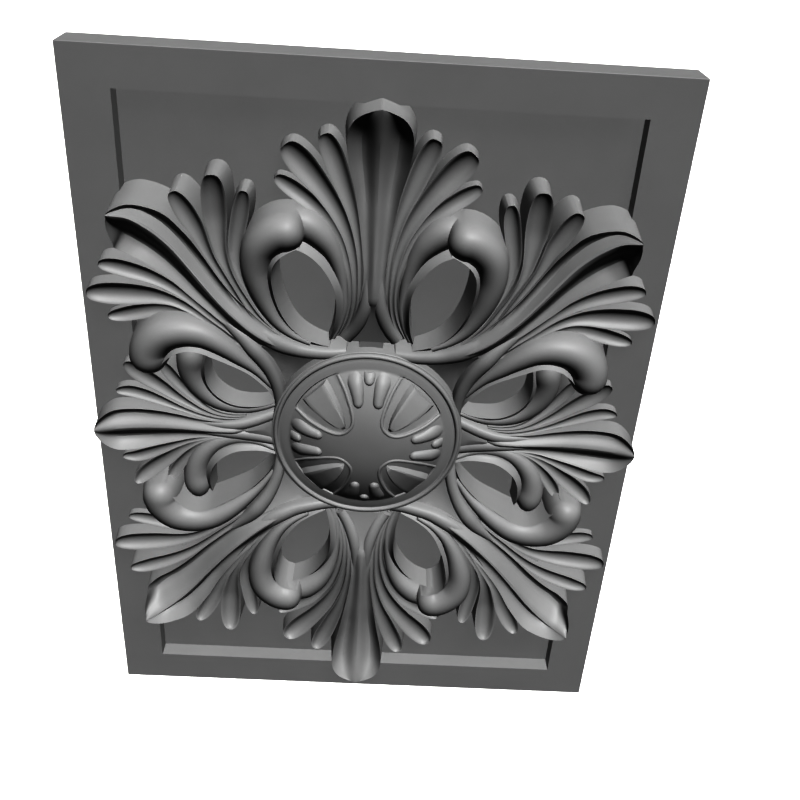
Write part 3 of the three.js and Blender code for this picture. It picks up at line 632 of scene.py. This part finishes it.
class Tree:
    """A geometry node tree under construction."""

    def __init__(self, name, inputs):
        self.tree = bpy.data.node_groups.new(name, "GeometryNodeTree")
        self.tree.interface.new_socket("Geometry", in_out="OUTPUT", socket_type="NodeSocketGeometry")
        self.tree.interface.new_socket("Geometry", in_out="INPUT", socket_type="NodeSocketGeometry")
        self.identifiers = {}
        for label, kind in inputs:
            socket = self.tree.interface.new_socket(label, in_out="INPUT", socket_type=kind)
            self.identifiers[label] = socket.identifier
        self.entry = self.tree.nodes.new("NodeGroupInput")
        self.exit = self.tree.nodes.new("NodeGroupOutput")

    def given(self, label):
        return self.entry.outputs[label]

    def node(self, kind, settings=(), **sockets):
        node = self.tree.nodes.new(kind)
        for key, value in dict(settings).items():
            setattr(node, key, value)
        for label, value in sockets.items():
            self.feed(node.inputs[label.replace("_", " ")], value)
        return node

    def feed(self, socket, value):
        if isinstance(value, bpy.types.NodeSocket):
            self.tree.links.new(value, socket)
        else:
            socket.default_value = value

    def union(self, parts):
        """One solid from several meshes or sets of instances."""
        node = self.tree.nodes.new("GeometryNodeMeshBoolean")
        node.operation = "UNION"
        node.solver = "MANIFOLD"
        for part in parts:
            self.tree.links.new(part, node.inputs[1])
        return node.outputs[0]

    def mirrored(self, part, scale):
        moved = self.node("GeometryNodeTransform", Geometry=part, Scale=scale).outputs[0]
        return self.node("GeometryNodeFlipFaces", Mesh=moved).outputs[0]

    def children_of(self, label):
        return self.node(
            "GeometryNodeCollectionInfo", {"transform_space": "ORIGINAL"},
            Collection=self.given(label), Separate_Children=True, Reset_Children=False,
        ).outputs[0]

    def finish(self, part):
        """Shades the result smooth but for its creases, and gives it its material."""
        smooth = self.node(
            "GeometryNodeSetShadeSmooth", {"domain": "FACE"}, Geometry=part, Shade_Smooth=True,
        )
        angle = self.node("GeometryNodeInputMeshEdgeAngle").outputs["Unsigned Angle"]
        sharp = self.node(
            "FunctionNodeCompare", {"data_type": "FLOAT", "operation": "GREATER_THAN"},
            A=angle, B=self.given("Crease angle"),
        ).outputs[0]
        creased = self.node(
            "GeometryNodeSetShadeSmooth", {"domain": "EDGE"},
            Geometry=smooth.outputs[0], Selection=sharp, Shade_Smooth=False,
        )
        whole = self.node("GeometryNodeRealizeInstances", Geometry=creased.outputs[0])
        done = self.node(
            "GeometryNodeSetMaterial", Geometry=whole.outputs[0], Material=self.given("Finish"),
        )
        self.tree.links.new(done.outputs[0], self.exit.inputs[0])
        return self.tree


def mirrored_leaves_tree():
    """Joins one quarter's strokes, mirrors them to four, and joins the middle lobes on."""
    build = Tree("Leaves about two axes", [
        ("Quarter strokes", "NodeSocketCollection"), ("Middle strokes", "NodeSocketCollection"),
        ("Crease angle", "NodeSocketFloat"), ("Finish", "NodeSocketMaterial"),
    ])
    quarter = build.union([build.children_of("Quarter strokes")])
    left = build.mirrored(quarter, (-1, 1, 1))
    lower = build.mirrored(quarter, (1, 1, -1))
    opposite = build.mirrored(left, (1, 1, -1))
    whole = build.union([quarter, left, lower, opposite, build.children_of("Middle strokes")])
    return build.finish(whole), build.identifiers


def turned_centre_tree():
    """Repeats one quarter's strokes about the axis and joins them to the turned boss."""
    build = Tree("Boss about its axis", [
        ("Quarter strokes", "NodeSocketCollection"),
        ("Crease angle", "NodeSocketFloat"), ("Finish", "NodeSocketMaterial"),
    ])
    strokes = build.children_of("Quarter strokes")
    turned = []
    for quarter in range(4):
        rotation = (0, quarter * math.pi / 2, 0)
        node = build.node("GeometryNodeTransform", Geometry=strokes, Rotation=rotation)
        turned.append(node.outputs[0])
    whole = build.union([build.given("Geometry"), *turned])
    return build.finish(whole), build.identifiers


def settled(name, carrier, tree, identifiers, values):
    """Runs a tree on an object and returns the result as a plain mesh object."""
    modifier = carrier.modifiers.new("Repeat", "NODES")
    modifier.node_group = tree
    for label, value in values.items():
        modifier[identifiers[label]] = value
    bpy.context.view_layer.update()
    evaluated = carrier.evaluated_get(bpy.context.evaluated_depsgraph_get())
    mesh = bpy.data.meshes.new_from_object(evaluated)
    mesh.name = name
    bpy.data.objects.remove(carrier)
    piece = bpy.data.objects.new(name, mesh)
    bpy.context.scene.collection.objects.link(piece)
    print(name, sum(len(face.vertices) - 2 for face in mesh.polygons), "triangles")
    return piece


# Materials


class Value:
    """A socket in a shader tree that takes part in arithmetic."""

    def __init__(self, shader, socket):
        self.shader = shader
        self.socket = socket

    def maths(self, operation, first, second):
        return self.shader.node("ShaderNodeMath", {"operation": operation}, {0: first, 1: second})

    def __add__(self, other):
        return self.maths("ADD", self, other)

    __radd__ = __add__

    def __mul__(self, other):
        return self.maths("MULTIPLY", self, other)

    __rmul__ = __mul__


class Shader:
    """A material's node tree under construction."""

    def __init__(self, name):
        self.material = bpy.data.materials.new(name)
        self.material.use_nodes = True
        self.tree = self.material.node_tree
        self.tree.nodes.clear()

    def node(self, kind, settings=(), sockets=(), output=0):
        node = self.tree.nodes.new(kind)
        for key, value in dict(settings).items():
            setattr(node, key, value)
        for label, value in dict(sockets).items():
            socket = node.inputs[label]
            if isinstance(value, Value):
                self.tree.links.new(value.socket, socket)
            else:
                socket.default_value = value
        return Value(self, node.outputs[output])

    def surfaced(self, sockets):
        """The finished material, with one surface that has the given sockets."""
        surface = self.node("ShaderNodeBsdfPrincipled", {}, sockets)
        out = self.tree.nodes.new("ShaderNodeOutputMaterial")
        self.tree.links.new(surface.socket, out.inputs["Surface"])
        return self.material


def grey_paint(name, finish):
    """Even grey paint with a faint mottle and a fine tooth."""
    shader = Shader(name)
    place = shader.node("ShaderNodeTexCoord", output="Object")
    mottle = shader.node("ShaderNodeTexNoise", {}, {
        "Vector": place, "Scale": 34.0, "Detail": 4.0, "Roughness": 0.55,
    })
    tooth = shader.node("ShaderNodeTexNoise", {}, {
        "Vector": place, "Scale": 1500.0, "Detail": 2.0, "Roughness": 0.5,
    })
    tone = PAINT_TONE + MOTTLE_TONE * mottle + TOOTH_TONE * tooth
    colour = shader.node(
        "ShaderNodeVectorMath", {"operation": "SCALE"}, {0: list(finish.paint), "Scale": tone},
    )
    bump = shader.node(
        "ShaderNodeBump", {}, {"Strength": 0.12, "Distance": 0.0002, "Height": tooth},
    )
    smoothest = finish.roughness - MOTTLE_ROUGHNESS / 2
    return shader.surfaced({
        "Base Color": colour, "Roughness": smoothest + MOTTLE_ROUGHNESS * mottle, "Normal": bump,
        "Specular IOR Level": 0.22,
    })


def plain_paper(name, colour, glow):
    return Shader(name).surfaced({
        "Base Color": (*colour, 1), "Roughness": PAPER_ROUGHNESS,
        "Emission Color": (*colour, 1), "Emission Strength": glow,
    })


def dress(piece, node):
    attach(piece, "root")
    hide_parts(node)


def drawn_floor(scene):
    """The height of the carving's foot in drawn millimetres."""
    return -(scene.plaque_board.field_depth + scene.plaque_carving.sink) / MM


# Operators


class PLAQUE_OT_board(bpy.types.Operator):
    """Add the flat board with its sunk field"""

    bl_idname = "plaque.board"
    bl_label = "Backing Board"

    def execute(self, context):
        sizes = context.scene.plaque_board
        low, high = BOARD_LOW, BOARD_HIGH
        inner_low = (low[0] + sizes.side_margin, low[2] + sizes.end_margin)
        inner_high = (high[0] - sizes.side_margin, high[2] - sizes.end_margin)
        mesh = bmesh.new()

        def ring(x0, z0, x1, z1, y):
            corners = ((x0, y, z0), (x1, y, z0), (x1, y, z1), (x0, y, z1))
            return [mesh.verts.new(corner) for corner in corners]

        back = ring(low[0], low[2], high[0], high[2], high[1])
        front = ring(low[0], low[2], high[0], high[2], low[1])
        lip = ring(*inner_low, *inner_high, low[1])
        field = ring(*inner_low, *inner_high, low[1] + sizes.field_depth)
        for first, second in ((back, front), (front, lip), (lip, field)):
            for n in range(4):
                m = (n + 1) % 4
                mesh.faces.new([first[n], first[m], second[m], second[n]])
        mesh.faces.new(back[::-1])
        mesh.faces.new(field)
        bmesh.ops.recalc_face_normals(mesh, faces=mesh.faces)
        outside = back + front
        outer_edges = [edge for edge in mesh.edges if all(vert in outside for vert in edge.verts)]
        bmesh.ops.bevel(
            mesh, geom=outer_edges, offset=sizes.arris, offset_type="OFFSET", segments=2,
            profile=0.5, affect="EDGES", clamp_overlap=True,
        )
        data = bpy.data.meshes.new("backing_board")
        mesh.to_mesh(data)
        mesh.free()
        data.shade_flat()
        board = bpy.data.objects.new("backing_board", data)
        context.scene.collection.objects.link(board)
        data.materials.append(grey_paint("board_paint", context.scene.plaque_finish))
        dress(board, "backing_panel")
        return {"FINISHED"}


class PLAQUE_OT_leaves(bpy.types.Operator):
    """Add the carved leaves with their curls and stems"""

    bl_idname = "plaque.leaves"
    bl_label = "Carved Leaves"

    def execute(self, context):
        scene = context.scene
        sizes = scene.plaque_carving
        spacing = sizes.step / MM
        quarter = working_collection("quarter_strokes")
        middle = working_collection("middle_strokes")
        cut = Chisel(quarter, spacing, drawn_floor(scene), sizes.draft)

        for rows in UPRIGHT_LOBES:
            cut.scoop(rows, tip=0.15, blunt=3)
        cut.strand(UPRIGHT_STRAND, tip=0, crown=1.15, sag=0.3)
        cut.lip(UPRIGHT_LIP)
        cut.strand(UPRIGHT_STEM, tip=0)
        cut.bed([
            (UPRIGHT_RIDGE, 0, 0.45), *same_part(UPRIGHT_LOBES, 0.2, 0.55), (UPRIGHT_STRAND, 0.2, 0.7),
        ])

        cut.ridge(CORNER_RIDGE, tip=0.08, nib=0.5, blunt=2.6, left_channel=0.42, right_channel=0.62)
        for rows in CORNER_LOBES:
            cut.scoop(rows, tip=0.18, blunt=2.8)
        for rows in (UPPER_CURL, LOWER_CURL):
            cut.strand(rows, across=15, tip=0.1, blunt=2, crown=1.15, sag=0.3)
        for rows in (UPPER_LIP, LOWER_LIP):
            cut.lip(rows)
        for rows in (UPPER_STEM, LOWER_STEM):
            cut.strand(rows, tip=0)
        for lobes, curl in ((CORNER_LOBES[:3], UPPER_CURL), (CORNER_LOBES[3:], LOWER_CURL)):
            cut.bed([(CORNER_RIDGE, 0, 0.5), *same_part(lobes, 0, 0.6), (curl, 0.1, 0.5)])

        for rows in LEVEL_LOBES:
            cut.scoop(rows, tip=0.17, blunt=2.6)
        cut.strand(LEVEL_STRAND, tip=0.16, blunt=2, crown=1.1, sag=0.25)
        cut.lip(LEVEL_LIP)
        cut.strand(LEVEL_STEM, tip=0)
        cut.bed([(LEVEL_RIDGE, 0, 0.5), *same_part(LEVEL_LOBES, 0, 0.6), (LEVEL_STRAND, 0.3, 0.6)])
        for rows in WEBS:
            cut.close(rows)

        cut = Chisel(middle, spacing, drawn_floor(scene), sizes.draft)
        for sign in (1, -1):
            rows = mirrored_rows(UPRIGHT_RIDGE, 1, sign)
            cut.ridge(rows, tip=0.165, nib=1.5, nib_reach=4, blunt=2.6)
        for sign in (1, -1):
            rows = mirrored_rows(LEVEL_RIDGE, sign, 1)
            cut.ridge(rows, tip=0.16, nib=0.4, blunt=2)

        tree, identifiers = mirrored_leaves_tree()
        carrier = new_object("carrier", [], [], scene.collection)
        leaves = settled("carved_leaves", carrier, tree, identifiers, {
            "Quarter strokes": quarter, "Middle strokes": middle, "Crease angle": sizes.crease,
            "Finish": grey_paint("leaf_paint", scene.plaque_finish),
        })
        drop_collection(quarter)
        drop_collection(middle)
        dress(leaves, "rosette")
        return {"FINISHED"}


class PLAQUE_OT_centre(bpy.types.Operator):
    """Add the ring with its bead and the domed boss with its petals"""

    bl_idname = "plaque.centre"
    bl_label = "Ring and Boss"

    def execute(self, context):
        scene = context.scene
        sizes = scene.plaque_centre
        carving = scene.plaque_carving
        floor = drawn_floor(scene)
        edge, apex, reach = sizes.boss_edge / MM, sizes.boss_apex / MM, sizes.boss_radius / MM
        outer = sizes.ring_radius / MM

        def dome(radius):
            return apex - (apex - edge) * (radius / reach) ** DOME_POWER

        def sunk(x, z):
            """Depth of the sunk ground inside the petals' outlines."""
            along = (abs(x) + abs(z)) * math.sqrt(0.5)
            beside = abs(abs(x) - abs(z)) * math.sqrt(0.5)
            if along <= PETAL_OUTLINE[0][0]:
                return 0.0
            inside = np.interp(along, *PETAL_OUTLINE) - beside
            return GROUND_DEPTH * min(1, max(0, inside / GROUND_SLOPE))

        def cove(radius):
            inner_radius, height = RING_FLAT[-1]
            return height + COVE_RISE * ((inner_radius - radius) / COVE_WIDTH) ** COVE_POWER

        foot = outer + (RING_LEAN_TOP - floor) * math.tan(carving.draft)
        profile = [(0, floor), (foot, floor), (outer, RING_WALL_TOP)]
        profile += [(outer - RING_ARRIS, RING_WALL_TOP + RING_ARRIS), RING_SHOULDER]
        for angle in np.linspace(math.pi, 0, BEAD_POINTS):
            radius = BEAD_MIDDLE[0] - BEAD_HALF_WIDTH * math.cos(angle)
            profile.append((radius, BEAD_MIDDLE[1] + BEAD_RISE * math.sin(angle)))
        profile += RING_FLAT
        profile += [(radius, cove(radius)) for radius in COVE_RADII]
        profile += [(radius, dome(radius)) for radius in np.linspace(reach, 0, DOME_RINGS)]
        points, faces = [], []
        sides = sizes.sides
        for radius, height in profile:
            if radius == 0:
                points.append((0, FRONT - height * MM, 0))
                continue
            for n in range(sides):
                angle = 2 * math.pi * n / sides
                x, z = radius * math.cos(angle), radius * math.sin(angle)
                over = height - sunk(x, z) if radius <= reach else height
                points.append((x * MM, FRONT - over * MM, z * MM))
        last = len(points) - 1
        rings = len(profile) - 2
        for n in range(sides):
            m = (n + 1) % sides
            faces.append([0, 1 + m, 1 + n])
            for ring in range(rings - 1):
                a, b = 1 + ring * sides, 1 + (ring + 1) * sides
                faces.append([a + n, a + m, b + m, b + n])
            tail = 1 + (rings - 1) * sides
            faces.append([tail + n, tail + m, last])
        carrier = new_object("carrier", points, faces, scene.collection)
        mesh = bmesh.new()
        mesh.from_mesh(carrier.data)
        bmesh.ops.recalc_face_normals(mesh, faces=mesh.faces)
        mesh.to_mesh(carrier.data)
        mesh.free()

        strokes = working_collection("boss_strokes")
        cut = Chisel(strokes, BOSS_SPACING, floor, 0)

        def on_boss(angle, along, beside, half_width, over):
            """A station over the dome, at a place along and beside the radius at an angle."""
            x = along * math.cos(angle) - beside * math.sin(angle)
            z = along * math.sin(angle) + beside * math.cos(angle)
            return [x, z, dome(min(reach, math.hypot(x, z))) + over, half_width]

        diagonal = math.pi / 4
        half_outline = list(zip(*PETAL_OUTLINE))
        outline = [(along, -beside) for along, beside in half_outline[:0:-1]] + half_outline
        rows = [
            on_boss(diagonal, along, beside, PETAL_BEAD_HALF_WIDTH, -PETAL_BEAD_SINK)
            for along, beside in outline
        ]
        cut.strand(rows, across=9, tip=0, crown=0.9)
        cut.wedge([on_boss(diagonal, along, 0.0, half, over) for along, half, over in PETAL_WEDGE])
        for side in (-1, 1):
            rows = [on_boss(0, along, side * beside, half, over) for along, beside, half, over in TONGUE]
            cut.strand(rows, across=13, tip=0.17, blunt=2, crown=0.95, sag=0.15)
        rows = [on_boss(0, along, 0.0, half, over) for along, half, over in EDGE_LOBE]
        cut.strand(rows, tip=0.35, blunt=2, crown=0.95)

        tree, identifiers = turned_centre_tree()
        centre = settled("ring_and_boss", carrier, tree, identifiers, {
            "Quarter strokes": strokes, "Crease angle": carving.crease,
            "Finish": grey_paint("boss_paint", scene.plaque_finish),
        })
        drop_collection(strokes)
        dress(centre, "rosette")
        return {"FINISHED"}


class PLAQUE_OT_stage(bpy.types.Operator):
    """Add the plain floor and walls, the soft lights and the camera"""

    bl_idname = "plaque.stage"
    bl_label = "Studio"

    def execute(self, context):
        scene = context.scene
        stage = scene.plaque_stage
        half = STUDIO_HALF_WIDTH
        level = BOARD_LOW[2]
        corners = ((-half, -half), (half, -half), (half, half), (-half, half))
        points = [(x, y, height) for height in (level, level + half) for x, y in corners]
        walls = [[side, (side + 1) % 4, (side + 1) % 4 + 4, side + 4] for side in range(4)]
        floor = new_object("studio_floor", points, [[0, 1, 2, 3], *walls], scene.collection)
        floor.data.materials.append(plain_paper("floor_paper", stage.floor_colour, 0.0))
        floor.data.materials.append(plain_paper("wall_paper", stage.floor_colour, WALL_GLOW))
        for face in floor.data.polygons[1:]:
            face.material_index = 1
        floor.visible_glossy = False
        floor.visible_shadow = False
        # No surface lights another, so the hollows stay dark
        for piece in scene.objects:
            piece.visible_diffuse = False

        camera = bpy.data.objects.new("camera", bpy.data.cameras.new("camera"))
        scene.collection.objects.link(camera)
        aim = Vector(stage.camera_aim).normalized()
        right = aim.cross(Vector(stage.camera_up)).normalized()
        up = right.cross(aim)
        turn = Matrix((right, up, -aim)).transposed()
        camera.matrix_world = Matrix.Translation(Vector(stage.camera_place)) @ turn.to_4x4()
        camera.data.sensor_width = 36
        camera.data.angle = stage.field_of_view
        camera.data.clip_start = 0.01
        camera.data.clip_end = 100
        scene.camera = camera

        for name, direction, share, angle, shadows in SUNS:
            light = bpy.data.lights.new(name, "SUN")
            light.energy = stage.key_strength * share
            light.angle = math.radians(angle)
            light.use_shadow = shadows
            lamp = bpy.data.objects.new(name, light)
            # The suns behind leave no glints on the upper edges
            lamp.visible_glossy = direction is None
            towards = Vector(direction or stage.key_from).normalized()
            lamp.rotation_euler = towards.to_track_quat("Z", "Y").to_euler()
            scene.collection.objects.link(lamp)

        world = bpy.data.worlds.new("studio")
        world.use_nodes = True
        background = world.node_tree.nodes["Background"]
        background.inputs["Color"].default_value = (1, 1, 1, 1)
        background.inputs["Strength"].default_value = SKY_STRENGTH
        scene.world = world
        scene.view_settings.view_transform = "Raw"
        return {"FINISHED"}


class PLAQUE_PT_panel(bpy.types.Panel):
    """Sizes and builders of the plaque"""

    bl_idname = "PLAQUE_PT_panel"
    bl_label = "Carved Rosette Plaque"
    bl_space_type = "VIEW_3D"
    bl_region_type = "UI"
    bl_category = "Rosette"

    def draw(self, context):
        for operator, group in BUILDERS:
            box = self.layout.box()
            box.operator(operator.bl_idname)
            settings = getattr(context.scene, group)
            for label in settings.__annotations__:
                box.prop(settings, label)


GROUPS = {
    "plaque_carving": PLAQUE_PG_carving,
    "plaque_centre": PLAQUE_PG_centre,
    "plaque_board": PLAQUE_PG_board,
    "plaque_finish": PLAQUE_PG_finish,
    "plaque_stage": PLAQUE_PG_stage,
}
BUILDERS = (
    (PLAQUE_OT_board, "plaque_board"),
    (PLAQUE_OT_leaves, "plaque_carving"),
    (PLAQUE_OT_centre, "plaque_centre"),
    (PLAQUE_OT_stage, "plaque_stage"),
)
CLASSES = (*GROUPS.values(), *[operator for operator, group in BUILDERS], PLAQUE_PT_panel)


def register():
    for each in CLASSES:
        bpy.utils.register_class(each)
    for label, group in GROUPS.items():
        setattr(bpy.types.Scene, label, bpy.props.PointerProperty(type=group))


def unregister():
    for label in GROUPS:
        delattr(bpy.types.Scene, label)
    for each in reversed(CLASSES):
        bpy.utils.unregister_class(each)


def main():
    register()
    bpy.ops.plaque.board()
    bpy.ops.plaque.leaves()
    bpy.ops.plaque.centre()
    bpy.ops.plaque.stage()


if __name__ == "__main__":
    main()
